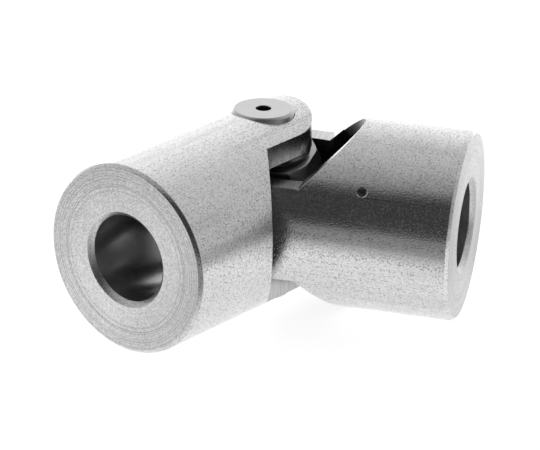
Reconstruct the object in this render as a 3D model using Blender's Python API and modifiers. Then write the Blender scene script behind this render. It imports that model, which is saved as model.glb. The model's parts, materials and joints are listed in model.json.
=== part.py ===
"""Single universal joint with plain bearings: 10 mm bores, 22 mm across, 48 mm long.

Two alike forked yokes are hinged on a centre block. One long pin crosses the block and carries
the input yoke, and two short pins, held by a rivet through all three, carry the output yoke.
Each fork ear has a flanged bush, and a thrust washer runs between each flange and the block.

The model is in metres with +Z up. The long pin stands along Z, the short pins lie along Y, and
the output yoke's bore points along +X. The origin is below the middle of the joint's box, on the
surface that the joint lies on. The joint is modelled bent, with the input yoke swung aside.

Each yoke is made in its own frame: Z runs out along its bore, and X along its pin.
"""

import math

import bmesh
import bpy
from mathutils import Matrix, Vector

MM = 0.001

# Pose of the two yokes
INPUT_BEND = math.radians(64.5)
OUTPUT_DROOP = math.radians(1.5)

# Yokes, which are alike
YOKE_RADIUS = 11.0 * MM
YOKE_LENGTH = 24.0 * MM
BORE_RADIUS = 5.0 * MM
BORE_CHAMFER = 0.6 * MM
RIM_CHAMFER = 0.4 * MM
EAR_HALF_WIDTH = 5.6 * MM
EAR_STRAIGHT = 6.2 * MM
SLOT_HALF_WIDTH = 6.8 * MM
SLOT_STRAIGHT = 4.75 * MM
RELIEF_HALF_WIDTH = 6.5 * MM
RELIEF_GAP = 0.16 * MM

# Pins, rivet and the holes that take them
PIN_RADIUS = 3.57 * MM
PIN_REACH = 11.19 * MM
PIN_CHAMFER = 0.25 * MM
PIN_HOLE_RADIUS = 0.88 * MM
PIN_HOLE_DEPTH = 3.0 * MM
PIN_HOLE_TIP = 0.5 * MM
SHORT_PIN_START = 3.75 * MM
RIVET_RADIUS = 0.9 * MM
RIVET_HEAD = 0.5 * MM
RIVET_SINK = 0.03 * MM

# Centre block
BLOCK_HALF_SIDE = 5.8 * MM
BLOCK_HALF_LENGTH = 5.85 * MM
BLOCK_END_RADIUS = 6.1 * MM
BLOCK_CONE_GROWTH = 1.44

# Flanged bushes and thrust washers
BUSH_RADIUS = 4.4 * MM
BUSH_END = 9.8 * MM
FLANGE_RADIUS = 5.5 * MM
FLANGE_THICKNESS = 0.5 * MM
FLANGE_GAP = 0.05 * MM
WASHER_RADIUS = 5.2 * MM
WASHER_START = 5.84 * MM
WASHER_THICKNESS = 0.38 * MM

# Fits
FIT = 0.04 * MM
PRESS_GAP = 0.03 * MM

# Facets and cutting allowances
YOKE_STEPS = 72
SLOT_STEPS = 40
RELIEF_STEPS = 12
PIN_STEPS = 32
RIVET_STEPS = 16
EAR_ARC_STEPS = 24
OVERCUT = 1.0 * MM
MERGE_DISTANCE = 0.001 * MM
SHARP_ANGLE = math.radians(25)

# Colour, roughness and metallic value of each finish
FINISHES = {
    "turned_steel": ((0.60, 0.60, 0.60), 0.38, 1.0),
    "ground_steel": ((0.66, 0.66, 0.65), 0.25, 1.0),
    "block_steel": ((0.42, 0.42, 0.42), 0.40, 1.0),
    "bush_steel": ((0.30, 0.29, 0.28), 0.42, 1.0),
}

parts = None
cutters = None


def clear_scene():
    """Remove whatever the file holds, and make the two collections."""
    global parts, cutters
    for obj in list(bpy.data.objects):
        bpy.data.objects.remove(obj, do_unlink=True)
    parts = bpy.data.collections.new("universal_joint_shaft")
    cutters = bpy.data.collections.new("cutters")
    for group in (parts, cutters):
        bpy.context.scene.collection.children.link(group)


def finish_material(name):
    """One Principled material, made from its row in FINISHES."""
    colour, roughness, metallic = FINISHES[name]
    material = bpy.data.materials.new(name)
    material.use_nodes = True
    shader = material.node_tree.nodes["Principled BSDF"]
    shader.inputs["Base Color"].default_value = (*colour, 1.0)
    shader.inputs["Roughness"].default_value = roughness
    shader.inputs["Metallic"].default_value = metallic
    material.diffuse_color = (*colour, 1.0)
    return material


def empty(name, parent, matrix):
    """A frame that pieces are placed in."""
    frame = bpy.data.objects.new(name, None)
    parts.objects.link(frame)
    frame.parent = parent
    frame.matrix_local = matrix
    return frame


def mesh_object(name, mesh, group):
    obj = bpy.data.objects.new(name, mesh)
    group.objects.link(obj)
    return obj


def turned(name, profile, steps, closed, group):
    """Revolve a profile of (radius, height) about Z; it runs down its outer side."""
    mesh = bpy.data.meshes.new(name)
    corners = [(radius, 0.0, height) for radius, height in profile]
    edges = [(i, i + 1) for i in range(len(corners) - 1)]
    if closed:
        edges.append((len(corners) - 1, 0))
    mesh.from_pydata(corners, edges, [])
    obj = mesh_object(name, mesh, group)
    screw = obj.modifiers.new("turn", "SCREW")
    screw.axis = "Z"
    screw.steps = steps
    screw.render_steps = steps
    screw.use_merge_vertices = True
    screw.merge_threshold = MERGE_DISTANCE
    screw.use_normal_calculate = False
    return obj


def rod(name, radius, half_length, steps, turn, group):
    """A plain cylinder through the origin, along Z until it is turned."""
    mesh = bpy.data.meshes.new(name)
    shape = bmesh.new()
    bmesh.ops.create_cone(shape, cap_ends=True, segments=steps, radius1=radius, radius2=radius,
                          depth=2 * half_length, matrix=turn)
    shape.to_mesh(mesh)
    shape.free()
    return mesh_object(name, mesh, group)


def cutter(obj, frame):
    """Put a cutter in the frame of the piece that it cuts, drawn as wire only."""
    obj.parent = frame
    obj.hide_render = True
    obj.display_type = "WIRE"
    return obj


def cut(obj, tool, operation):
    step = obj.modifiers.new(tool.name, "BOOLEAN")
    step.operation = operation
    step.solver = "EXACT"
    step.object = tool


def evaluated_mesh(obj):
    bpy.context.view_layer.update()
    graph = bpy.context.evaluated_depsgraph_get()
    return bpy.data.meshes.new_from_object(obj.evaluated_get(graph))


def settle(obj, material):
    """Apply a piece's modifiers, weld what they left double, and shade its round faces smooth."""
    mesh = evaluated_mesh(obj)
    obj.modifiers.clear()
    obj.data = mesh
    shape = bmesh.new()
    shape.from_mesh(mesh)
    bmesh.ops.remove_doubles(shape, verts=shape.verts, dist=MERGE_DISTANCE)
    shape.to_mesh(mesh)
    shape.free()
    mesh.shade_smooth()
    mesh.set_sharp_from_angle(angle=SHARP_ANGLE)
    mesh.materials.clear()
    mesh.materials.append(material)
    return obj


def turn_x(degrees):
    return Matrix.Rotation(math.radians(degrees), 4, "X")


def turn_y(degrees):
    return Matrix.Rotation(math.radians(degrees), 4, "Y")


def turn_z(degrees):
    return Matrix.Rotation(math.radians(degrees), 4, "Z")


def input_turn():
    """Turns a yoke's frame to the input side: its pin along Z, its bore swung aside."""
    return Matrix.Rotation(INPUT_BEND, 4, "Z") @ turn_y(-90)


def output_turn():
    """Turns a yoke's frame to the output side: its pin along Y, its bore along +X."""
    return Matrix.Rotation(OUTPUT_DROOP, 4, "Y") @ turn_y(90) @ turn_z(90)


def yoke_reach(turn, direction):
    """How far a yoke's chamfered hub end reaches from the joint's centre along a direction."""
    axis = (turn.to_3x3() @ Vector((0, 0, 1))).normalized()
    along = axis.dot(direction)
    across = math.sqrt(max(0.0, 1.0 - along * along))
    rim = (YOKE_LENGTH - RIM_CHAMFER) * along + YOKE_RADIUS * across
    face = YOKE_LENGTH * along + (YOKE_RADIUS - RIM_CHAMFER) * across
    return max(rim, face)


def joint_centre():
    """The joint's centre, seen from the middle of the underside of its box."""
    low = []
    high = []
    for direction in (Vector((1, 0, 0)), Vector((0, 1, 0)), Vector((0, 0, 1))):
        reaches = [(yoke_reach(turn, direction), yoke_reach(turn, -direction))
                   for turn in (input_turn(), output_turn())]
        high.append(max(reach[0] for reach in reaches))
        low.append(-max(reach[1] for reach in reaches))
    high[1] = max(high[1], PIN_REACH)
    high[2] = max(high[2], PIN_REACH)
    return Vector((-(low[0] + high[0]) / 2, -(low[1] + high[1]) / 2, -low[2]))


def yoke_blank(name):
    """The turned bar of a yoke, with its bore and chamfered hub end."""
    ear_end = -EAR_HALF_WIDTH - OVERCUT
    profile = [
        (BORE_RADIUS, YOKE_LENGTH - BORE_CHAMFER),
        (BORE_RADIUS + BORE_CHAMFER, YOKE_LENGTH),
        (YOKE_RADIUS - RIM_CHAMFER, YOKE_LENGTH),
        (YOKE_RADIUS, YOKE_LENGTH - RIM_CHAMFER),
        (YOKE_RADIUS, ear_end),
        (BORE_RADIUS, ear_end),
    ]
    return turned(name, profile, YOKE_STEPS, True, parts)


def plate(name, outline, turn):
    """A flat cutter, thick enough to pass through a yoke, from an outline of (x, y) points."""
    curve = bpy.data.curves.new(name, "CURVE")
    curve.dimensions = "2D"
    curve.fill_mode = "BOTH"
    curve.extrude = YOKE_RADIUS + OVERCUT
    spline = curve.splines.new("POLY")
    spline.points.add(len(outline) - 1)
    for point, (x, y) in zip(spline.points, outline):
        point.co = (x, y, 0.0, 1.0)
    spline.use_cyclic_u = True
    drawn = bpy.data.objects.new(name + "_curve", curve)
    cutters.objects.link(drawn)

    mesh = evaluated_mesh(drawn)
    bpy.data.objects.remove(drawn, do_unlink=True)
    mesh.transform(turn)
    shape = bmesh.new()
    shape.from_mesh(mesh)
    bmesh.ops.remove_doubles(shape, verts=shape.verts, dist=MERGE_DISTANCE)
    bmesh.ops.recalc_face_normals(shape, faces=shape.faces)
    shape.to_mesh(mesh)
    shape.free()
    return mesh_object(name, mesh, cutters)


def fork_outline(name):
    """The fork's outline seen along the pin: a round end, straight sides and slanted shoulders."""
    side = YOKE_RADIUS + OVERCUT
    shoulder = EAR_STRAIGHT + side - EAR_HALF_WIDTH
    top = YOKE_LENGTH + OVERCUT
    points = [(side, top), (side, shoulder), (EAR_HALF_WIDTH, EAR_STRAIGHT)]
    for i in range(EAR_ARC_STEPS + 1):
        angle = math.pi * i / EAR_ARC_STEPS
        points.append((EAR_HALF_WIDTH * math.cos(angle), -EAR_HALF_WIDTH * math.sin(angle)))
    points += [(-EAR_HALF_WIDTH, EAR_STRAIGHT), (-side, shoulder), (-side, top)]

    # drawn with the yoke's Y across and its Z along
    return plate(name, points, turn_z(90) @ turn_x(90))


def fork_slot(name):
    """The slot that parts the two ears: straight walls and a round end, right through the yoke."""
    low = -EAR_HALF_WIDTH - 2 * OVERCUT
    points = [(-SLOT_HALF_WIDTH, low), (SLOT_HALF_WIDTH, low)]
    for i in range(SLOT_STEPS + 1):
        angle = math.pi * i / SLOT_STEPS
        points.append((SLOT_HALF_WIDTH * math.cos(angle),
                       SLOT_STRAIGHT + SLOT_HALF_WIDTH * math.sin(angle)))
    # drawn with the yoke's X across and its Z along
    return plate(name, points, turn_x(90))


def ear_relief(name):
    """The crowned recess in the slot's round end that the other yoke's ears swing through.

    It follows the corners of the ears' round ends, which lie closer to this yoke's pin the
    further they are from its middle.
    """
    corner = YOKE_RADIUS ** 2 + EAR_HALF_WIDTH ** 2
    profile = [(0.0, RELIEF_HALF_WIDTH)]
    for i in range(RELIEF_STEPS + 1):
        offset = RELIEF_HALF_WIDTH * (1 - 2 * i / RELIEF_STEPS)
        profile.append((math.sqrt(corner - offset ** 2) + RELIEF_GAP, offset))
    profile.append((0.0, -RELIEF_HALF_WIDTH))
    return turned(name, profile, YOKE_STEPS, False, cutters)


def make_yoke(name, frame, material):
    """A forked yoke: turned, sawn to its outline, slotted for its partner and bored for bushes."""
    yoke = yoke_blank(name)
    yoke.parent = frame
    along_pin = turn_y(90)
    outline = fork_outline(name + "_outline")
    slot = fork_slot(name + "_slot")
    relief = ear_relief(name + "_relief")
    pin_hole = rod(name + "_pin_hole", PIN_RADIUS + FIT, YOKE_RADIUS + OVERCUT, PIN_STEPS,
                   along_pin, cutters)
    bush_seat = rod(name + "_bush_seat", BUSH_RADIUS + PRESS_GAP, BUSH_END + PRESS_GAP, PIN_STEPS,
                    along_pin, cutters)
    cut(yoke, cutter(outline, frame), "INTERSECT")
    for tool in (slot, relief, pin_hole, bush_seat):
        cut(yoke, cutter(tool, frame), "DIFFERENCE")
    relief.matrix_local = along_pin
    return settle(yoke, material)


def make_bush(name, frame, turn, material):
    """A flanged bush, pressed into an ear from the slot."""
    flange_back = SLOT_HALF_WIDTH - FLANGE_GAP
    flange_front = flange_back - FLANGE_THICKNESS
    bore = PIN_RADIUS + FIT
    profile = [
        (bore, BUSH_END),
        (BUSH_RADIUS, BUSH_END),
        (BUSH_RADIUS, flange_back),
        (FLANGE_RADIUS, flange_back),
        (FLANGE_RADIUS, flange_front),
        (bore, flange_front),
    ]
    bush = turned(name, profile, PIN_STEPS, True, parts)
    bush.parent = frame
    bush.matrix_local = turn
    return settle(bush, material)


def make_washer(name, frame, turn, material):
    """A thrust washer between the block and a bush's flange."""
    bore = PIN_RADIUS + FIT
    top = WASHER_START + WASHER_THICKNESS
    profile = [(bore, top), (WASHER_RADIUS, top), (WASHER_RADIUS, WASHER_START),
               (bore, WASHER_START)]
    washer = turned(name, profile, PIN_STEPS, True, parts)
    washer.parent = frame
    washer.matrix_local = turn
    return settle(washer, material)


def make_long_pin(frame, material):
    """The pin through the block, blind-drilled at both ends and cross-drilled for the rivet."""
    hole_end = PIN_REACH - PIN_HOLE_DEPTH
    upper = [
        (0.0, hole_end - PIN_HOLE_TIP),
        (PIN_HOLE_RADIUS, hole_end),
        (PIN_HOLE_RADIUS, PIN_REACH),
        (PIN_RADIUS - PIN_CHAMFER, PIN_REACH),
        (PIN_RADIUS, PIN_REACH - PIN_CHAMFER),
    ]
    lower = [(radius, -height) for radius, height in reversed(upper)]
    pin = turned("long_pin", upper + lower, PIN_STEPS, False, parts)
    pin.parent = frame
    drill = rod("long_pin_cross_drill", RIVET_RADIUS + FIT, PIN_RADIUS + OVERCUT, RIVET_STEPS,
                turn_x(90), cutters)
    cut(pin, cutter(drill, frame), "DIFFERENCE")
    return settle(pin, material)


def make_short_pin(name, frame, turn, material):
    """A short pin from the long pin's side out through one ear, drilled and countersunk."""
    hole = RIVET_RADIUS + FIT
    profile = [
        (hole, PIN_REACH - RIVET_HEAD),
        (hole + RIVET_HEAD, PIN_REACH),
        (PIN_RADIUS - PIN_CHAMFER, PIN_REACH),
        (PIN_RADIUS, PIN_REACH - PIN_CHAMFER),
        (PIN_RADIUS, SHORT_PIN_START + PIN_CHAMFER),
        (PIN_RADIUS - PIN_CHAMFER, SHORT_PIN_START),
        (hole, SHORT_PIN_START),
    ]
    pin = turned(name, profile, PIN_STEPS, True, parts)
    pin.parent = frame
    pin.matrix_local = turn
    return settle(pin, material)


def make_rivet(frame, material):
    """The rivet that locks the three pins, closed into a countersink at both ends."""
    top = PIN_REACH - RIVET_SINK
    upper = [(0.0, top), (RIVET_RADIUS + RIVET_HEAD, top), (RIVET_RADIUS, top - RIVET_HEAD)]
    lower = [(radius, -height) for radius, height in reversed(upper)]
    rivet = turned("lock_rivet", upper + lower, RIVET_STEPS, False, parts)
    rivet.parent = frame
    rivet.matrix_local = turn_x(90)
    return settle(rivet, material)


def make_block(frame, material):
    """The centre block: square bar with turned ends, bored for the pins."""
    mesh = bpy.data.meshes.new("centre_block")
    shape = bmesh.new()
    bmesh.ops.create_cube(shape, size=2 * BLOCK_HALF_SIDE)
    bmesh.ops.scale(shape, verts=shape.verts, vec=((BLOCK_HALF_SIDE + OVERCUT) / BLOCK_HALF_SIDE, 1, 1))
    shape.to_mesh(mesh)
    shape.free()
    block = mesh_object("centre_block", mesh, parts)
    block.parent = frame

    waist = BLOCK_END_RADIUS + BLOCK_HALF_LENGTH * BLOCK_CONE_GROWTH
    profile = [(0.0, BLOCK_HALF_LENGTH), (BLOCK_END_RADIUS, BLOCK_HALF_LENGTH), (waist, 0.0),
               (BLOCK_END_RADIUS, -BLOCK_HALF_LENGTH), (0.0, -BLOCK_HALF_LENGTH)]
    ends = turned("centre_block_turned_ends", profile, YOKE_STEPS, False, cutters)
    cut(block, cutter(ends, frame), "INTERSECT")
    ends.matrix_local = turn_y(90)

    reach = BLOCK_HALF_SIDE + OVERCUT
    long_bore = rod("centre_block_long_bore", PIN_RADIUS + FIT, reach, PIN_STEPS, Matrix(), cutters)
    short_bore = rod("centre_block_short_bore", PIN_RADIUS + FIT, reach, PIN_STEPS, turn_x(90),
                     cutters)
    for tool in (long_bore, short_bore):
        cut(block, cutter(tool, frame), "DIFFERENCE")
    return settle(block, material)


def main():
    clear_scene()
    finishes = {name: finish_material(name) for name in FINISHES}
    centre = empty("joint_centre", None, Matrix.Translation(joint_centre()))
    input_frame = empty("input_frame", centre, input_turn())
    output_frame = empty("output_frame", centre, output_turn())

    make_yoke("input_yoke", input_frame, finishes["turned_steel"])
    make_yoke("output_yoke", output_frame, finishes["turned_steel"])
    make_block(centre, finishes["block_steel"])
    make_long_pin(centre, finishes["ground_steel"])
    for side, turn in (("front", turn_x(90)), ("rear", turn_x(-90))):
        make_short_pin("short_pin_" + side, centre, turn, finishes["ground_steel"])
        make_washer("thrust_washer_" + side, centre, turn, finishes["bush_steel"])
    make_rivet(centre, finishes["ground_steel"])
    for side, turn in (("upper", Matrix()), ("lower", turn_x(180))):
        make_washer("thrust_washer_" + side, centre, turn, finishes["bush_steel"])
    for side, frame, degrees in (("input_upper", input_frame, 90), ("input_lower", input_frame, -90),
                                 ("output_rear", output_frame, 90),
                                 ("output_front", output_frame, -90)):
        make_bush("bush_" + side, frame, turn_y(degrees), finishes["bush_steel"])


main()
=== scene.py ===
"""Looks of the universal joint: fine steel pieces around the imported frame, studio and camera.

Every piece is modelled in the frame of the yoke or pin that it belongs to, where Z runs along its
turning axis, and is placed on the joint's centre, which is the middle of the long pin.
"""

import json
import math

import bmesh
import bpy
from mathutils import Matrix, Vector


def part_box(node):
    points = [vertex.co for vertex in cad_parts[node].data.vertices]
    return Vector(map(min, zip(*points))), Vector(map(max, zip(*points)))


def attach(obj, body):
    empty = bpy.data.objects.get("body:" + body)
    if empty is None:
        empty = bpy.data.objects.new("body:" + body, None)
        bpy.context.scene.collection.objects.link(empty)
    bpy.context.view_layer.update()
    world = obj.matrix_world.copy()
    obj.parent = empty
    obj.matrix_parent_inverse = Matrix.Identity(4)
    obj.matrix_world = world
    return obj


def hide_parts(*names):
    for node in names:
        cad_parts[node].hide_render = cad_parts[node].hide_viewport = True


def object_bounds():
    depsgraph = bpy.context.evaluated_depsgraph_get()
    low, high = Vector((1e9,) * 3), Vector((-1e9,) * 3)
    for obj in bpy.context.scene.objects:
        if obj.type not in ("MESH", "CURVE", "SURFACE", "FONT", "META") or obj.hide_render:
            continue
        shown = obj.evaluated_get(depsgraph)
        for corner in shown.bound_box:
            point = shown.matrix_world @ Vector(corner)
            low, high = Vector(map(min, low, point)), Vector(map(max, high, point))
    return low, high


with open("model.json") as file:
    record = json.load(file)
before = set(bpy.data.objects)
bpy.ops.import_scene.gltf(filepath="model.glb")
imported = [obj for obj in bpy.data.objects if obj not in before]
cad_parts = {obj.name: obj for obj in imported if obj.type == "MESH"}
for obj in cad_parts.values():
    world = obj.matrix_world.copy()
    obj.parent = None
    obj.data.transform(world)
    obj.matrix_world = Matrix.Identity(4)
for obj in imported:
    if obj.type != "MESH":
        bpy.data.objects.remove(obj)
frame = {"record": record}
CAD_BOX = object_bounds()

MM = 0.001


def mount_axis(name):
    mounts = frame["record"]["mounts"]
    return Vector(next(mount for mount in mounts if mount["name"] == name)["axis"]).normalized()


# --- Places and sizes, from the frame --------------------------------------------------------

PIN_LOW, PIN_HIGH = (Vector(corner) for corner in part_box("long_pin"))
CENTRE = (PIN_LOW + PIN_HIGH) / 2
PIN_RADIUS = (PIN_HIGH.x - PIN_LOW.x) / 2
PIN_REACH = (PIN_HIGH.z - PIN_LOW.z) / 2

INPUT_AXIS = mount_axis("input_hub_face")
OUTPUT_AXIS = mount_axis("output_hub_face")
LONG_PIN_AXIS = Vector((0, 0, 1))
SHORT_PIN_AXIS = Vector((0, 1, 0))


# --- Sizes that the frame doesn't give, as in the CAD model ----------------------------------

# Yokes
YOKE_RADIUS = 11.0 * MM
YOKE_LENGTH = 24.0 * MM
BORE_RADIUS = 5.0 * MM
BORE_CHAMFER = 0.58 * MM
RIM_CHAMFER = 0.38 * MM
EAR_HALF_WIDTH = 5.6 * MM
EAR_STRAIGHT = 6.2 * MM
SLOT_HALF_WIDTH = 6.8 * MM
SLOT_STRAIGHT = 4.75 * MM
RELIEF_HALF_WIDTH = 6.5 * MM
RELIEF_GAP = 0.16 * MM

# Pins and rivet
PIN_FIT = 0.04 * MM
PIN_CHAMFER = 0.25 * MM
PIN_HOLE_RADIUS = 0.88 * MM
PIN_HOLE_DEPTH = 3.0 * MM
PIN_HOLE_TIP = 0.5 * MM
SHORT_PIN_START = 3.75 * MM
SHORT_PIN_BORE = 0.94 * MM
RIVET_RADIUS = 0.9 * MM
RIVET_HEAD = 0.5 * MM
RIVET_SINK = 0.03 * MM

# Flanged bushes and thrust washers
BUSH_RADIUS = 4.4 * MM
BUSH_END = 9.8 * MM
BUSH_END_GAP = 0.03 * MM
BUSH_SEAT_GAP = 0.02 * MM
FLANGE_RADIUS = 5.5 * MM
FLANGE_THICKNESS = 0.5 * MM
FLANGE_GAP = 0.05 * MM
WASHER_RADIUS = 5.2 * MM
WASHER_START = 5.84 * MM
WASHER_THICKNESS = 0.38 * MM

# Centre block
BLOCK_HALF_SIDE = 5.8 * MM
BLOCK_HALF_LENGTH = 5.85 * MM
BLOCK_END_RADIUS = 6.1 * MM
BLOCK_CONE_GROWTH = 1.44

# Punch mark in the side of the output hub: the angle is in degrees around its bore
MARK_RADIUS = 0.6 * MM
MARK_DEPTH = 0.4 * MM
MARK_HEIGHT = 13.47 * MM
MARK_ANGLE = 146


# --- Fineness of the meshes ------------------------------------------------------------------

YOKE_STEPS = 256
ARC_STEPS = 96
RELIEF_STEPS = 32
PIN_STEPS = 128
RIVET_STEPS = 64
MARK_STEPS = 48
CORNER_STEPS = 3
BREAK_STEPS = 2

YOKE_EDGE_BREAK = 0.06 * MM
BLOCK_EDGE_BREAK = 0.08 * MM
PIN_CORNER = 0.06 * MM
BUSH_CORNER = 0.07 * MM
WASHER_CORNER = 0.06 * MM

OVERCUT = 1.0 * MM
MERGE_DISTANCE = 0.0005 * MM
CUT_SHARP_ANGLE = math.radians(28)
TURNED_SHARP_ANGLE = math.radians(30)

# How far a face's middle may lie off the surface that it belongs to
FACE_MARGIN = 0.02 * MM

# Places of a yoke's finishes in its list of materials; the slot's place holds near-black painted
# shade
OUTSIDE, FACED, BORE, MILLED, SHADED_SLOT = range(5)


# --- Mesh helpers ----------------------------------------------------------------------------

def frame_matrix(z_axis, x_axis):
    """A frame on the joint's centre with the given Z and X directions."""
    y_axis = z_axis.cross(x_axis).normalized()
    turn = Matrix((x_axis, y_axis, z_axis)).transposed()
    return Matrix.Translation(CENTRE) @ turn.to_4x4()


def link(obj):
    bpy.context.scene.collection.objects.link(obj)
    return obj


def turned(name, profile, steps, closed):
    """Revolve a profile of (radius, height) points about Z. Its outer side runs downwards."""
    mesh = bpy.data.meshes.new(name)
    corners = [(radius, 0.0, height) for radius, height in profile]
    edges = [(i, i + 1) for i in range(len(corners) - 1)]
    if closed:
        edges.append((len(corners) - 1, 0))
    mesh.from_pydata(corners, edges, [])
    obj = link(bpy.data.objects.new(name, mesh))
    screw = obj.modifiers.new("turn", "SCREW")
    screw.steps = steps
    screw.render_steps = steps
    screw.use_merge_vertices = True
    screw.merge_threshold = MERGE_DISTANCE
    screw.use_normal_calculate = False
    return obj


def apply_modifiers(obj):
    bpy.context.view_layer.update()
    graph = bpy.context.evaluated_depsgraph_get()
    mesh = bpy.data.meshes.new_from_object(obj.evaluated_get(graph))
    obj.modifiers.clear()
    obj.data = mesh
    return mesh


def rod(name, radius, half_length, steps, turn):
    """A round cutter along Z, turned by a matrix."""
    mesh = bpy.data.meshes.new(name)
    shape = bmesh.new()
    bmesh.ops.create_cone(shape, cap_ends=True, segments=steps, radius1=radius, radius2=radius,
                          depth=2 * half_length, matrix=turn)
    shape.to_mesh(mesh)
    shape.free()
    return link(bpy.data.objects.new(name, mesh))


def cut(obj, tool, operation):
    """Cut at once and throw the cutter away."""
    step = obj.modifiers.new(tool.name, "BOOLEAN")
    step.operation = operation
    step.solver = "EXACT"
    step.object = tool
    apply_modifiers(obj)
    bpy.data.objects.remove(tool, do_unlink=True)


def weld(mesh):
    """Merge the points that cuts leave side by side, and drop the slivers between them."""
    shape = bmesh.new()
    shape.from_mesh(mesh)
    bmesh.ops.remove_doubles(shape, verts=shape.verts, dist=MERGE_DISTANCE)
    bmesh.ops.dissolve_degenerate(shape, edges=shape.edges, dist=MERGE_DISTANCE)
    shape.to_mesh(mesh)
    shape.free()


def break_edges(obj, width):
    """Round every sharp edge a little, and shade the rest smooth."""
    weld(obj.data)
    bevel = obj.modifiers.new("edge_break", "BEVEL")
    bevel.limit_method = "ANGLE"
    bevel.angle_limit = CUT_SHARP_ANGLE
    bevel.width = width
    bevel.segments = BREAK_STEPS
    bevel.use_clamp_overlap = False
    bevel.harden_normals = False
    bevel.miter_outer = "MITER_ARC"
    mesh = apply_modifiers(obj)
    weld(mesh)
    mesh.shade_smooth()
    mesh.set_sharp_from_angle(angle=CUT_SHARP_ANGLE)


def rounded(profile, radius):
    """Round the corners of a closed profile of (radius, height) points."""
    points = [Vector(point) for point in profile]
    result = []
    count = len(points)
    for i, corner in enumerate(points):
        before = points[i - 1] - corner
        after = points[(i + 1) % count] - corner
        reach = min(radius, 0.4 * before.length, 0.4 * after.length)
        start = corner + before.normalized() * reach
        end = corner + after.normalized() * reach
        for k in range(CORNER_STEPS + 1):
            t = k / CORNER_STEPS
            blend = start * (1 - t) ** 2 + corner * 2 * t * (1 - t) + end * t ** 2
            result.append(tuple(blend))
    return result


def ride_as(obj, body, nodes, matrix):
    """Place a finished piece, fix it to its body, and hide the CAD nodes that it stands for."""
    obj.matrix_world = matrix
    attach(obj, body)
    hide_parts(*nodes)


# --- Node material helpers -------------------------------------------------------------------

class Nodes:
    """Short names for the nodes of one material."""

    def __init__(self, name):
        self.material = bpy.data.materials.new(name)
        self.material.use_nodes = True
        self.tree = self.material.node_tree
        self.shader = self.tree.nodes["Principled BSDF"]
        self.place = self.tree.nodes.new("ShaderNodeTexCoord").outputs["Object"]

    def put(self, socket, value):
        if isinstance(value, bpy.types.NodeSocket):
            self.tree.links.new(value, socket)
        elif value is not None:
            socket.default_value = value

    def node(self, kind, values=(), **settings):
        item = self.tree.nodes.new(kind)
        for key, value in settings.items():
            setattr(item, key, value)
        for key, value in dict(values).items():
            self.put(item.inputs[key], value)
        return item

    def maths(self, operation, a, b=None):
        item = self.node("ShaderNodeMath", operation=operation)
        for socket, value in zip(item.inputs, (a, b)):
            self.put(socket, value)
        return item.outputs[0]

    def split(self, vector):
        return self.node("ShaderNodeSeparateXYZ", {"Vector": vector}).outputs

    def join(self, x, y, z):
        return self.node("ShaderNodeCombineXYZ", {"X": x, "Y": y, "Z": z}).outputs[0]

    def noise(self, vector, scale, detail, roughness):
        values = {"Vector": vector, "Scale": scale, "Detail": detail, "Roughness": roughness}
        return self.node("ShaderNodeTexNoise", values, noise_dimensions="3D").outputs[0]

    def lines(self, along, scale, detail, roughness):
        """Noise that changes with one measure only, such as rings with the radius."""
        values = {"W": along, "Scale": scale, "Detail": detail, "Roughness": roughness}
        return self.node("ShaderNodeTexNoise", values, noise_dimensions="1D").outputs[0]

    def span(self, value, low, high, out_low, out_high, smooth=False):
        kind = "SMOOTHSTEP" if smooth else "LINEAR"
        return self.node("ShaderNodeMapRange",
                         {"Value": value, "From Min": low, "From Max": high, "To Min": out_low,
                          "To Max": out_high}, interpolation_type=kind).outputs[0]

    def mix_colour(self, factor, a, b):
        item = self.node("ShaderNodeMix", data_type="RGBA", blend_type="MIX")
        for index, value in ((0, factor), (6, a), (7, b)):
            self.put(item.inputs[index], value)
        return item.outputs[2]

    def radius(self):
        """Distance from the turning axis."""
        x, y, _ = self.split(self.place)
        return self.maths("SQRT", self.maths("ADD", self.maths("MULTIPLY", x, x),
                                             self.maths("MULTIPLY", y, y)))

    def bump(self, height, distance, normal=None):
        values = {"Height": height, "Distance": distance, "Strength": 1.0}
        if normal is not None:
            values["Normal"] = normal
        return self.node("ShaderNodeBump", values).outputs[0]

    def spread(self, cloud, low, high):
        """Even out a noise around its middle, between two values."""
        return self.span(cloud, 0.3, 0.7, low, high)

    def shade(self, cloud, low, high):
        """A grey that follows a noise between two values."""
        return self.mix_colour(self.spread(cloud, 0.0, 1.0), grey(low), grey(high))

    def finish(self, tone, roughness, normal, metallic=1.0):
        """Fill in the shader and hand back the finished material."""
        for socket, value in (("Base Color", tone), ("Metallic", metallic),
                              ("Roughness", roughness), ("Normal", normal)):
            self.put(self.shader.inputs[socket], value)
        return self.material


def grey(value):
    return (value, value, value, 1.0)


def pits(nodes, scale, low, high):
    """Fine pits of uneven size and depth: 1 in the middle of a pit, 0 between the pits."""
    cells = nodes.node("ShaderNodeTexVoronoi", {"Vector": nodes.place, "Scale": scale,
                                                "Randomness": 1.0}, feature="F1")
    apart = nodes.split(cells.outputs["Color"])[0]
    size = nodes.span(apart, 0.0, 1.0, low, high)
    depth = nodes.maths("DIVIDE", cells.outputs["Distance"], size)
    return nodes.span(depth, 0.55, 1.0, 1.0, 0.0, smooth=True)


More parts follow.
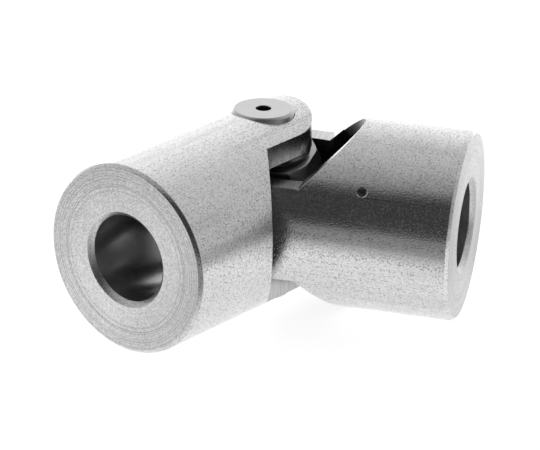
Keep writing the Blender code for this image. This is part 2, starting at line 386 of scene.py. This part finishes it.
def turned_steel():
    """The turned outside of a yoke: satin, with fine pits and faint lines along and around it."""
    nodes = Nodes("turned_outside")
    x, y, z = nodes.split(nodes.place)
    speck = pits(nodes, 5500.0, 0.08, 0.52)
    blotch = pits(nodes, 1900.0, 0.0, 0.20)
    cloud = nodes.noise(nodes.place, 260.0, 4.0, 0.6)
    fine = nodes.noise(nodes.place, 4600.0, 1.0, 0.6)
    lathe = nodes.lines(z, 16000.0, 3.0, 0.7)
    drawn = nodes.join(x, y, nodes.maths("MULTIPLY", z, 0.06))
    streak = nodes.noise(drawn, 620.0, 3.0, 0.6)
    tone = nodes.shade(cloud, 0.72, 0.78)
    for amount, darker in ((nodes.span(streak, 0.34, 0.50, 0.30, 0.0), 0.50),
                           (nodes.span(fine, 0.40, 0.62, 0.40, 0.0), 0.48),
                           (nodes.maths("MULTIPLY", speck, 0.75), 0.10),
                           (nodes.maths("MULTIPLY", blotch, 0.45), 0.14)):
        tone = nodes.mix_colour(amount, tone, grey(darker))
    rough = nodes.maths("ADD", nodes.spread(cloud, 0.14, 0.19),
                        nodes.maths("MULTIPLY", fine, 0.05))
    height = nodes.maths("ADD", nodes.maths("MULTIPLY", lathe, 0.15), fine)
    normal = nodes.bump(height, 0.016 * MM)
    normal = nodes.bump(nodes.maths("SUBTRACT", 1.0, speck), 0.010 * MM, normal)
    return nodes.finish(tone, rough, normal)


def faced_steel():
    """The hub's end face: rings left by the facing tool, deepest near the rim, and fine grain."""
    nodes = Nodes("faced_end")
    radius = nodes.radius()
    rings = nodes.lines(radius, 4200.0, 4.0, 0.75)
    fine = nodes.noise(nodes.place, 4600.0, 1.0, 0.6)
    cloud = nodes.noise(nodes.place, 300.0, 3.0, 0.6)
    speck = pits(nodes, 4300.0, 0.05, 0.44)
    rim = nodes.span(radius, 7.6 * MM, 8.6 * MM, 0.25, 1.0, smooth=True)
    groove = nodes.maths("MULTIPLY", nodes.span(rings, 0.47, 0.34, 0.0, 1.0), rim)
    tone = nodes.shade(cloud, 0.70, 0.77)
    for amount, darker in ((nodes.span(fine, 0.40, 0.62, 0.55, 0.0), 0.44),
                           (nodes.maths("MULTIPLY", groove, 0.65), 0.20),
                           (nodes.maths("MULTIPLY", speck, 0.45), 0.15)):
        tone = nodes.mix_colour(amount, tone, grey(darker))
    rough = nodes.maths("ADD", nodes.spread(cloud, 0.26, 0.32),
                        nodes.maths("MULTIPLY", rings, 0.08))
    height = nodes.maths("ADD", nodes.maths("MULTIPLY", fine, 1.6),
                         nodes.maths("MULTIPLY", nodes.maths("MULTIPLY", rings, rim), 1.6))
    return nodes.finish(tone, rough, nodes.bump(height, 0.024 * MM))


def bored_shaded_steel():
    """The drilled and reamed bore: faint rings around it, and a darker grey that is painted shade
    inside it.
    """
    nodes = Nodes("reamed_bore_painted_shade")
    rings = nodes.lines(nodes.split(nodes.place)[2], 7000.0, 3.0, 0.7)
    cloud = nodes.noise(nodes.place, 180.0, 2.0, 0.5)
    return nodes.finish(nodes.shade(rings, 0.42, 0.50), nodes.spread(cloud, 0.20, 0.25),
                        nodes.bump(rings, 0.004 * MM), metallic=0.9)


def milled_steel():
    """Cut faces of the fork: lines across, left by the cutter."""
    nodes = Nodes("milled_fork")
    x, y, z = nodes.split(nodes.place)
    stretched = nodes.join(nodes.maths("MULTIPLY", x, 0.06), y, z)
    marks = nodes.noise(stretched, 6500.0, 3.0, 0.7)
    cloud = nodes.noise(nodes.place, 300.0, 3.0, 0.6)
    return nodes.finish(nodes.shade(marks, 0.40, 0.62), nodes.spread(cloud, 0.22, 0.30),
                        nodes.bump(marks, 0.008 * MM))


def slot_shade_steel():
    """The inside of the fork, its recess and the punch mark: near-black painted shade, with lines
    along the slot.
    """
    nodes = Nodes("slotted_fork_painted_shade")
    x, y, z = nodes.split(nodes.place)
    stretched = nodes.join(x, nodes.maths("MULTIPLY", y, 0.06), z)
    marks = nodes.noise(stretched, 5200.0, 3.0, 0.7)
    cloud = nodes.noise(nodes.place, 300.0, 3.0, 0.6)
    return nodes.finish(nodes.shade(marks, 0.04, 0.10), nodes.spread(cloud, 0.26, 0.36),
                        nodes.bump(marks, 0.008 * MM))


def ground_steel():
    """Pins and rivet: fine ground steel."""
    nodes = Nodes("ground_pin")
    rings = nodes.lines(nodes.radius(), 7000.0, 3.0, 0.7)
    cloud = nodes.noise(nodes.place, 500.0, 4.0, 0.6)
    rough = nodes.maths("ADD", nodes.spread(cloud, 0.24, 0.32),
                        nodes.maths("MULTIPLY", rings, 0.06))
    return nodes.finish(nodes.shade(cloud, 0.47, 0.56), rough, nodes.bump(rings, 0.003 * MM))


def painted_shade_steel(name, low, high):
    """Block, bushes, washers and the pin's drilled hole: a dark grey that is painted shade where
    they sit between the ears or sink into the pin.
    """
    nodes = Nodes(name)
    cloud = nodes.noise(nodes.place, 600.0, 4.0, 0.6)
    fine = nodes.noise(nodes.place, 7000.0, 3.0, 0.6)
    return nodes.finish(nodes.shade(cloud, low, high), nodes.spread(fine, 0.30, 0.42),
                        nodes.bump(fine, 0.003 * MM))


# --- Yokes -----------------------------------------------------------------------------------

def turn_about(axis, degrees):
    return Matrix.Rotation(math.radians(degrees), 4, axis)


def plate(name, outline, turn):
    """A flat cutter, thick enough to pass through a yoke, from an outline of (x, y) points."""
    half = YOKE_RADIUS + OVERCUT
    mesh = bpy.data.meshes.new(name)
    shape = bmesh.new()
    shape.faces.new([shape.verts.new((x, y, half)) for x, y in outline])
    grown = bmesh.ops.extrude_face_region(shape, geom=shape.faces[:])
    moved = [item for item in grown["geom"] if isinstance(item, bmesh.types.BMVert)]
    bmesh.ops.translate(shape, verts=moved, vec=(0, 0, -2 * half))
    bmesh.ops.recalc_face_normals(shape, faces=shape.faces)
    shape.to_mesh(mesh)
    shape.free()
    mesh.transform(turn)
    return link(bpy.data.objects.new(name, mesh))


def fork_outline(name):
    """The fork's outline seen along the pin: a round end, straight sides and slanted shoulders."""
    side = YOKE_RADIUS + OVERCUT
    shoulder = EAR_STRAIGHT + side - EAR_HALF_WIDTH
    top = YOKE_LENGTH + OVERCUT
    points = [(side, top), (side, shoulder), (EAR_HALF_WIDTH, EAR_STRAIGHT)]
    for i in range(ARC_STEPS + 1):
        angle = math.pi * i / ARC_STEPS
        points.append((EAR_HALF_WIDTH * math.cos(angle), -EAR_HALF_WIDTH * math.sin(angle)))
    points += [(-EAR_HALF_WIDTH, EAR_STRAIGHT), (-side, shoulder), (-side, top)]
    return plate(name, points, turn_about("Z", 90) @ turn_about("X", 90))


def fork_slot(name):
    """The slot that parts the two ears: straight walls and a round end, right through the yoke."""
    low = -EAR_HALF_WIDTH - 2 * OVERCUT
    points = [(-SLOT_HALF_WIDTH, low), (SLOT_HALF_WIDTH, low)]
    for i in range(ARC_STEPS + 1):
        angle = math.pi * i / ARC_STEPS
        points.append((SLOT_HALF_WIDTH * math.cos(angle),
                       SLOT_STRAIGHT + SLOT_HALF_WIDTH * math.sin(angle)))
    return plate(name, points, turn_about("X", 90))


def relief_radius(offset):
    """How far the recess reaches from the pin's axis, at a distance along that axis."""
    return math.sqrt(YOKE_RADIUS ** 2 + EAR_HALF_WIDTH ** 2 - offset ** 2) + RELIEF_GAP


def ear_relief(name):
    """The crowned recess that the other yoke's ears swing through."""
    profile = [(0.0, RELIEF_HALF_WIDTH)]
    for i in range(RELIEF_STEPS + 1):
        offset = RELIEF_HALF_WIDTH * (1 - 2 * i / RELIEF_STEPS)
        profile.append((relief_radius(offset), offset))
    profile.append((0.0, -RELIEF_HALF_WIDTH))
    relief = turned(name, profile, YOKE_STEPS, False)
    apply_modifiers(relief)
    relief.data.transform(turn_about("Y", 90))
    return relief


def punch_mark(name):
    """A blunt conical cutter for the small mark in the side of a hub."""
    mesh = bpy.data.meshes.new(name)
    shape = bmesh.new()
    bmesh.ops.create_cone(shape, cap_ends=True, segments=MARK_STEPS, radius1=MARK_RADIUS / 6,
                          radius2=MARK_RADIUS * 2, depth=MARK_DEPTH * 11 / 5)
    bmesh.ops.translate(shape, verts=shape.verts, vec=(0, 0, MARK_DEPTH / 10 + YOKE_RADIUS))
    shape.to_mesh(mesh)
    shape.free()
    mesh.transform(Matrix.Translation((0, 0, MARK_HEIGHT)) @ turn_about("Z", MARK_ANGLE)
                   @ turn_about("Y", 90))
    return link(bpy.data.objects.new(name, mesh))


def yoke_mesh(name, marked):
    """One forked yoke in its own frame: Z out along the bore, X along the pin."""
    ear_end = -EAR_HALF_WIDTH - OVERCUT
    profile = [
        (BORE_RADIUS, YOKE_LENGTH - BORE_CHAMFER),
        (BORE_RADIUS + BORE_CHAMFER, YOKE_LENGTH),
        (YOKE_RADIUS - RIM_CHAMFER, YOKE_LENGTH),
        (YOKE_RADIUS, YOKE_LENGTH - RIM_CHAMFER),
        (YOKE_RADIUS, ear_end),
        (BORE_RADIUS, ear_end),
    ]
    yoke = turned(name, profile, YOKE_STEPS, True)
    apply_modifiers(yoke)
    along_pin = turn_about("Y", 90)
    cut(yoke, fork_outline(name + "_outline"), "INTERSECT")
    for tool in (
        fork_slot(name + "_slot"),
        ear_relief(name + "_relief"),
        rod(name + "_pin_hole", PIN_RADIUS + PIN_FIT, YOKE_RADIUS + OVERCUT, PIN_STEPS, along_pin),
        rod(name + "_bush_seat", BUSH_RADIUS, BUSH_END, PIN_STEPS, along_pin),
    ):
        cut(yoke, tool, "DIFFERENCE")
    if marked:
        cut(yoke, punch_mark(name + "_mark"), "DIFFERENCE")
    break_edges(yoke, YOKE_EDGE_BREAK)
    return yoke


def faces_slot(face):
    """Whether a face lies in the slot or its relief, and isn't one of the slanted shoulders."""
    x, y, z = face.center
    on_shoulder = abs(abs(y) - EAR_HALF_WIDTH - z + EAR_STRAIGHT) < 4 * FACE_MARGIN
    if on_shoulder and abs(face.normal.y) > 0.6:
        return False
    above = max(0.0, z - SLOT_STRAIGHT)
    in_slot = math.hypot(x, above) < SLOT_HALF_WIDTH + FACE_MARGIN
    in_relief = (abs(x) < RELIEF_HALF_WIDTH + FACE_MARGIN
                 and math.hypot(y, z) < relief_radius(x) + FACE_MARGIN)
    return in_slot or in_relief


def paint_yoke(yoke, materials):
    """Give each face of a yoke the finish of the tool that made it; the slot, its recess and the
    punch mark get painted shade.
    """
    mesh = yoke.data
    for material in materials:
        mesh.materials.append(material)
    for face in mesh.polygons:
        x, y, z = face.center
        radius = math.hypot(x, y)
        out = face.normal.x * x + face.normal.y * y
        around = radius * (math.atan2(y, x) - math.radians(MARK_ANGLE))
        in_mark = math.hypot(z - MARK_HEIGHT, around) < MARK_RADIUS
        if face.normal.z > 0.3 and z > YOKE_LENGTH - BORE_CHAMFER - 2 * YOKE_EDGE_BREAK:
            on_rim = radius > YOKE_RADIUS - RIM_CHAMFER and face.normal.z < 0.95
            face.material_index = OUTSIDE if on_rim else FACED
        elif radius > YOKE_RADIUS - 2 * YOKE_EDGE_BREAK and out > 0.5 * radius:
            face.material_index = OUTSIDE
        # bore faces take the reamed finish, darkened with painted shade
        elif radius < BORE_RADIUS + BORE_CHAMFER and out < -0.3 * radius:
            face.material_index = BORE
        # the slot, its recess and the punch mark take near-black painted shade
        elif in_mark or faces_slot(face):
            face.material_index = SHADED_SLOT
        else:
            face.material_index = MILLED


def hold_normals(mesh):
    """Shade the hub as a true cylinder, the bore likewise, and every flat cut face as flat."""
    flat_normals = [Vector(normal).normalized() for normal in
                    ((1, 0, 0), (0, 1, 0), (0, 0, 1), (0, 1, 1), (0, 1, -1))]
    normals = [Vector(corner.vector) for corner in mesh.corner_normals]
    for face in mesh.polygons:
        flat = any(abs(face.normal.dot(normal)) > 0.99999 for normal in flat_normals)
        for index in face.loop_indices:
            x, y, _ = mesh.vertices[mesh.loops[index].vertex_index].co
            radius = math.hypot(x, y)
            if face.material_index == OUTSIDE and abs(face.normal.z) < 0.01:
                normals[index] = Vector((x, y, 0)) / radius
            elif face.material_index == BORE and abs(face.normal.z) < 0.01:
                normals[index] = -Vector((x, y, 0)) / radius
            elif flat:
                normals[index] = face.normal.copy()
    mesh.normals_split_custom_set(normals)


# --- Small pieces ----------------------------------------------------------------------------

def smooth_turned(obj, material):
    mesh = apply_modifiers(obj)
    mesh.shade_smooth()
    mesh.set_sharp_from_angle(angle=TURNED_SHARP_ANGLE)
    mesh.materials.append(material)
    return obj


def make_long_pin(material, hole_shade_material):
    """The long pin, with a drilled hole in each end and close loops that keep its edges crisp."""
    hole = PIN_HOLE_RADIUS
    face = PIN_RADIUS - PIN_CHAMFER
    upper = [
        (0.0, PIN_REACH - PIN_HOLE_DEPTH - PIN_HOLE_TIP),
        (hole, PIN_REACH - PIN_HOLE_DEPTH),
        (hole, PIN_REACH - 0.08 * MM),
        (hole + 0.03 * MM, PIN_REACH - 0.02 * MM),
        (hole + 0.08 * MM, PIN_REACH),
        (hole + 0.16 * MM, PIN_REACH),
        (face - 0.12 * MM, PIN_REACH),
        (face - 0.05 * MM, PIN_REACH),
        (face + 0.02 * MM, PIN_REACH - 0.02 * MM),
        (PIN_RADIUS - 0.02 * MM, PIN_REACH - PIN_CHAMFER),
        (PIN_RADIUS, PIN_REACH - PIN_CHAMFER - 0.05 * MM),
    ]
    lower = [(radius, -height) for radius, height in reversed(upper)]
    pin = smooth_turned(turned("long_pin_fine", upper + lower, PIN_STEPS, False), material)
    # the faces inside the drilled holes take near-black painted shade
    pin.data.materials.append(hole_shade_material)
    for polygon in pin.data.polygons:
        x, y, _ = polygon.center
        polygon.material_index = int(math.hypot(x, y) < hole + 0.01 * MM)
    return pin


def make_short_pin(name, material):
    profile = [
        (SHORT_PIN_BORE, PIN_REACH - RIVET_HEAD),
        (SHORT_PIN_BORE + RIVET_HEAD, PIN_REACH),
        (PIN_RADIUS - PIN_CHAMFER, PIN_REACH),
        (PIN_RADIUS, PIN_REACH - PIN_CHAMFER),
        (PIN_RADIUS, SHORT_PIN_START + PIN_CHAMFER),
        (PIN_RADIUS - PIN_CHAMFER, SHORT_PIN_START),
        (SHORT_PIN_BORE, SHORT_PIN_START),
    ]
    return smooth_turned(turned(name, rounded(profile, PIN_CORNER), PIN_STEPS, True), material)


def make_rivet(material):
    """The rivet, with both heads set into the short pins."""
    top = PIN_REACH - RIVET_SINK
    head = RIVET_RADIUS + RIVET_HEAD
    upper = [(0.0, top), (head - 0.1 * MM, top), (head, top - 0.04 * MM),
             (RIVET_RADIUS, top - RIVET_HEAD)]
    lower = [(reach, -height) for reach, height in reversed(upper)]
    return smooth_turned(turned("lock_rivet_fine", upper + lower, RIVET_STEPS, False), material)


def make_bush(name, material):
    """A bush in an ear, with its flange in the fork."""
    bore = PIN_RADIUS + PIN_FIT
    seat = BUSH_RADIUS - BUSH_SEAT_GAP
    end = BUSH_END - BUSH_END_GAP
    flange_back = SLOT_HALF_WIDTH - FLANGE_GAP
    flange_front = flange_back - FLANGE_THICKNESS
    profile = [(bore, end), (seat, end), (seat, flange_back), (FLANGE_RADIUS, flange_back),
               (FLANGE_RADIUS, flange_front), (bore, flange_front)]
    return smooth_turned(turned(name, rounded(profile, BUSH_CORNER), PIN_STEPS, True), material)


def make_washer(name, material):
    bore = PIN_RADIUS + PIN_FIT
    top = WASHER_START + WASHER_THICKNESS
    profile = [(bore, top), (WASHER_RADIUS, top), (WASHER_RADIUS, WASHER_START),
               (bore, WASHER_START)]
    return smooth_turned(turned(name, rounded(profile, WASHER_CORNER), PIN_STEPS, True), material)


def make_block(material):
    """A square block with turned, coned ends and two bores that cross."""
    reach = BLOCK_HALF_SIDE + OVERCUT
    mesh = bpy.data.meshes.new("centre_block_fine")
    shape = bmesh.new()
    bmesh.ops.create_cube(shape, size=2 * BLOCK_HALF_SIDE)
    bmesh.ops.scale(shape, verts=shape.verts, vec=(reach / BLOCK_HALF_SIDE, 1, 1))
    shape.to_mesh(mesh)
    shape.free()
    block = link(bpy.data.objects.new("centre_block_fine", mesh))
    waist = BLOCK_END_RADIUS + BLOCK_HALF_LENGTH * BLOCK_CONE_GROWTH
    profile = [(0.0, BLOCK_HALF_LENGTH), (BLOCK_END_RADIUS, BLOCK_HALF_LENGTH), (waist, 0.0),
               (BLOCK_END_RADIUS, -BLOCK_HALF_LENGTH), (0.0, -BLOCK_HALF_LENGTH)]
    ends = turned("block_ends", profile, YOKE_STEPS, False)
    apply_modifiers(ends)
    ends.data.transform(turn_about("Y", 90))
    cut(block, ends, "INTERSECT")
    for name, turn in (("long_bore", Matrix()), ("short_bore", turn_about("X", 90))):
        cut(block, rod(name, PIN_RADIUS + PIN_FIT, reach, PIN_STEPS, turn), "DIFFERENCE")
    break_edges(block, BLOCK_EDGE_BREAK)
    block.data.materials.append(material)
    return block


def build_joint():
    yoke_finishes_and_shades = (turned_steel(), faced_steel(), bored_shaded_steel(), milled_steel(), slot_shade_steel())
    pin_steel = ground_steel()
    # painted shade: the block's dark grey stands for the shade of the ears around it
    block_shade = painted_shade_steel("block_painted_shade", 0.20, 0.30)
    # painted shade: the bushes' and washers' dark grey stands for the shade inside the fork
    bush_shade = painted_shade_steel("bushes_and_washers_painted_shade", 0.16, 0.26)
    # painted shade: near-black for the insides of the pin's drilled holes
    hole_shade = painted_shade_steel("drilled_hole_painted_shade", 0.03, 0.08)

    input_frame = frame_matrix(INPUT_AXIS, LONG_PIN_AXIS)
    output_frame = frame_matrix(OUTPUT_AXIS, SHORT_PIN_AXIS)
    for name, body, matrix in (("input_yoke", "input_side", input_frame),
                               ("output_yoke", "output_side", output_frame)):
        yoke = yoke_mesh(name + "_fine", name == "output_yoke")
        paint_yoke(yoke, yoke_finishes_and_shades)
        hold_normals(yoke.data)
        ride_as(yoke, body, [name], matrix)

    cross = Matrix.Translation(CENTRE)
    ride_as(make_block(block_shade), "cross", ["centre_block"], cross)
    ride_as(make_long_pin(pin_steel, hole_shade), "cross", ["long_pin"], cross)
    rivet = make_rivet(pin_steel)
    ride_as(rivet, "cross", ["lock_rivet"], cross @ turn_about("X", 90))
    for side, turn in (("front", turn_about("X", 90)), ("rear", turn_about("X", -90))):
        pin = make_short_pin("short_pin_" + side + "_fine", pin_steel)
        ride_as(pin, "cross", ["short_pin_" + side], cross @ turn)
    for side, turn in (("front", turn_about("X", 90)), ("rear", turn_about("X", -90)),
                       ("upper", Matrix()), ("lower", turn_about("X", 180))):
        washer = make_washer("thrust_washer_" + side + "_fine", bush_shade)
        ride_as(washer, "cross", ["thrust_washer_" + side], cross @ turn)
    for side, body, matrix, degrees in (
            ("input_upper", "input_side", input_frame, 90),
            ("input_lower", "input_side", input_frame, -90),
            ("output_rear", "output_side", output_frame, 90),
            ("output_front", "output_side", output_frame, -90)):
        bush = make_bush("bush_" + side + "_fine", bush_shade)
        ride_as(bush, body, ["bush_" + side], matrix @ turn_about("Y", degrees))


# --- Studio and camera -----------------------------------------------------------------------

CAMERA_AZIMUTH = math.radians(13.212)
CAMERA_ELEVATION = math.radians(22.195)
CAMERA_ROLL = math.radians(0.965)
CAMERA_DISTANCE = 0.44902
CAMERA_LENS = 259.93
CAMERA_SENSOR = 36.0
AIM_FROM_CENTRE = Vector((1.205, -0.870, -2.751)) * MM

# Direction of the backdrop
BACKDROP = Vector((-math.sin(CAMERA_AZIMUTH), math.cos(CAMERA_AZIMUTH), 0.0))

# How bright the studio is, from where the camera stands (0) to the backdrop (1)
SKY_STRENGTH = 1.3
SKY_STOPS = ((0.0, 0.035), (0.205, 0.035), (0.25, 0.25), (0.38, 0.34), (0.5, 0.46), (0.75, 0.55),
             (0.90, 0.80), (1.0, 1.0))

# The floor: its own glow, and how bright the steel mirrors it. The near and fade stops go by the
# distance from the joint as a share of FLOOR_REACH, and the others from front (0) to backdrop (1)
FLOOR_GAP = 0.02 * MM
FLOOR_HALF_SIZE = 4.0
FLOOR_TONE = 0.5
FLOOR_GLOW = 0.85
FLOOR_REACH = 0.1
FLOOR_NEAR_STOPS = ((0.0, 0.88), (0.26, 0.82), (0.47, 0.05), (1.0, 0.02))
FLOOR_SIDE_STOPS = ((0.0, 0.0), (0.08, 0.0), (0.18, 0.86), (0.33, 0.86), (0.43, 0.45), (0.6, 0.55),
                    (1.0, 0.75))
FLOOR_SIDE_FADE_STOPS = ((0.0, 1.0), (0.62, 1.0), (1.0, 0.35))
FLOOR_BEHIND_STOPS = ((0.0, 0.0), (0.6, 0.0), (0.75, 0.6), (0.88, 1.2), (0.94, 1.5),
                      (1.0, 1.6))


def make_camera():
    """A long lens, from the front, a little to the right and above."""
    back = Vector((math.sin(CAMERA_AZIMUTH) * math.cos(CAMERA_ELEVATION),
                   -math.cos(CAMERA_AZIMUTH) * math.cos(CAMERA_ELEVATION),
                   math.sin(CAMERA_ELEVATION)))
    data = bpy.data.cameras.new("camera")
    data.lens = CAMERA_LENS
    data.sensor_width = CAMERA_SENSOR
    data.clip_start = 0.01
    data.clip_end = 50.0
    camera = link(bpy.data.objects.new("camera", data))
    turn = back.to_track_quat("Z", "Y").to_matrix().to_4x4() @ Matrix.Rotation(CAMERA_ROLL, 4, "Z")
    place = CENTRE + AIM_FROM_CENTRE + back * CAMERA_DISTANCE
    camera.matrix_world = Matrix.Translation(place) @ turn
    bpy.context.scene.camera = camera


def studio_maths(tree, operation, a, b=None, c=None):
    item = tree.nodes.new("ShaderNodeMath")
    item.operation = operation
    for socket, value in zip(item.inputs, (a, b, c)):
        if isinstance(value, bpy.types.NodeSocket):
            tree.links.new(value, socket)
        elif value is not None:
            socket.default_value = value
    return item.outputs[0]


def brightness_curve(tree, value, stops):
    """Brightness that follows straight lines between (position, brightness) stops."""
    ramp = tree.nodes.new("ShaderNodeValToRGB")
    ramp.color_ramp.interpolation = "LINEAR"
    elements = ramp.color_ramp.elements
    while len(elements) < len(stops):
        elements.new(0.5)
    for element, (position, brightness) in zip(elements, stops):
        element.position = position
        element.color = grey(brightness)
    tree.links.new(value, ramp.inputs["Fac"])
    return ramp.outputs["Color"]


def towards_backdrop(tree, vector):
    """How far a direction or a place lies towards the backdrop, behind the joint."""
    product = tree.nodes.new("ShaderNodeVectorMath")
    product.operation = "DOT_PRODUCT"
    product.inputs[1].default_value = BACKDROP
    tree.links.new(vector, product.inputs[0])
    return product.outputs["Value"]


def make_floor():
    """A white light table. The steel mirrors it bright near the joint, to its sides and behind."""
    mesh = bpy.data.meshes.new("floor")
    shape = bmesh.new()
    bmesh.ops.create_grid(shape, x_segments=1, y_segments=1, size=FLOOR_HALF_SIZE)
    shape.to_mesh(mesh)
    shape.free()
    floor = link(bpy.data.objects.new("floor", mesh))
    floor.location.z = CAD_BOX[0][2] - FLOOR_GAP
    material = bpy.data.materials.new("light_table")
    material.use_nodes = True
    tree = material.node_tree
    shader = tree.nodes["Principled BSDF"]
    shader.inputs["Base Color"].default_value = grey(FLOOR_TONE)
    shader.inputs["Roughness"].default_value = 1.0
    shader.inputs["Specular IOR Level"].default_value = 0.0
    shader.inputs["Emission Color"].default_value = grey(1.0)

    place = tree.nodes.new("ShaderNodeNewGeometry").outputs["Position"]
    from_joint = tree.nodes.new("ShaderNodeVectorMath")
    from_joint.operation = "SUBTRACT"
    from_joint.inputs[1].default_value = (CENTRE.x, CENTRE.y, floor.location.z)
    tree.links.new(place, from_joint.inputs[0])
    reach = tree.nodes.new("ShaderNodeVectorMath")
    reach.operation = "LENGTH"
    tree.links.new(from_joint.outputs[0], reach.inputs[0])
    distance = reach.outputs["Value"]
    behind = studio_maths(tree, "DIVIDE", towards_backdrop(tree, from_joint.outputs[0]), distance)
    behind = studio_maths(tree, "MULTIPLY_ADD", behind, 0.5, 0.5)
    reached = studio_maths(tree, "DIVIDE", distance, FLOOR_REACH)
    near = brightness_curve(tree, reached, FLOOR_NEAR_STOPS)
    side = studio_maths(tree, "MULTIPLY", brightness_curve(tree, behind, FLOOR_SIDE_STOPS),
                        brightness_curve(tree, reached, FLOOR_SIDE_FADE_STOPS))
    mirrored = studio_maths(tree, "MAXIMUM", near, side)
    mirrored = studio_maths(tree, "MAXIMUM", mirrored,
                            brightness_curve(tree, behind, FLOOR_BEHIND_STOPS))
    glossy = tree.nodes.new("ShaderNodeLightPath").outputs["Is Glossy Ray"]
    plain = studio_maths(tree, "MULTIPLY", studio_maths(tree, "SUBTRACT", 1.0, glossy), FLOOR_GLOW)
    strength = studio_maths(tree, "MULTIPLY_ADD", mirrored, glossy, plain)
    tree.links.new(strength, shader.inputs["Emission Strength"])
    mesh.materials.append(material)


def make_world():
    """A pale studio: a bright backdrop behind the joint, dark where the camera stands."""
    world = bpy.data.worlds.new("studio")
    bpy.context.scene.world = world
    world.use_nodes = True
    tree = world.node_tree
    background = tree.nodes["Background"]
    direction = tree.nodes.new("ShaderNodeTexCoord").outputs["Generated"]
    behind = studio_maths(tree, "MULTIPLY_ADD", towards_backdrop(tree, direction), 0.5, 0.5)
    tree.links.new(brightness_curve(tree, behind, SKY_STOPS), background.inputs["Color"])
    background.inputs["Strength"].default_value = SKY_STRENGTH


def main():
    scene = bpy.context.scene
    scene.view_settings.view_transform = "Standard"
    make_camera()
    make_floor()
    make_world()
    build_joint()


main()
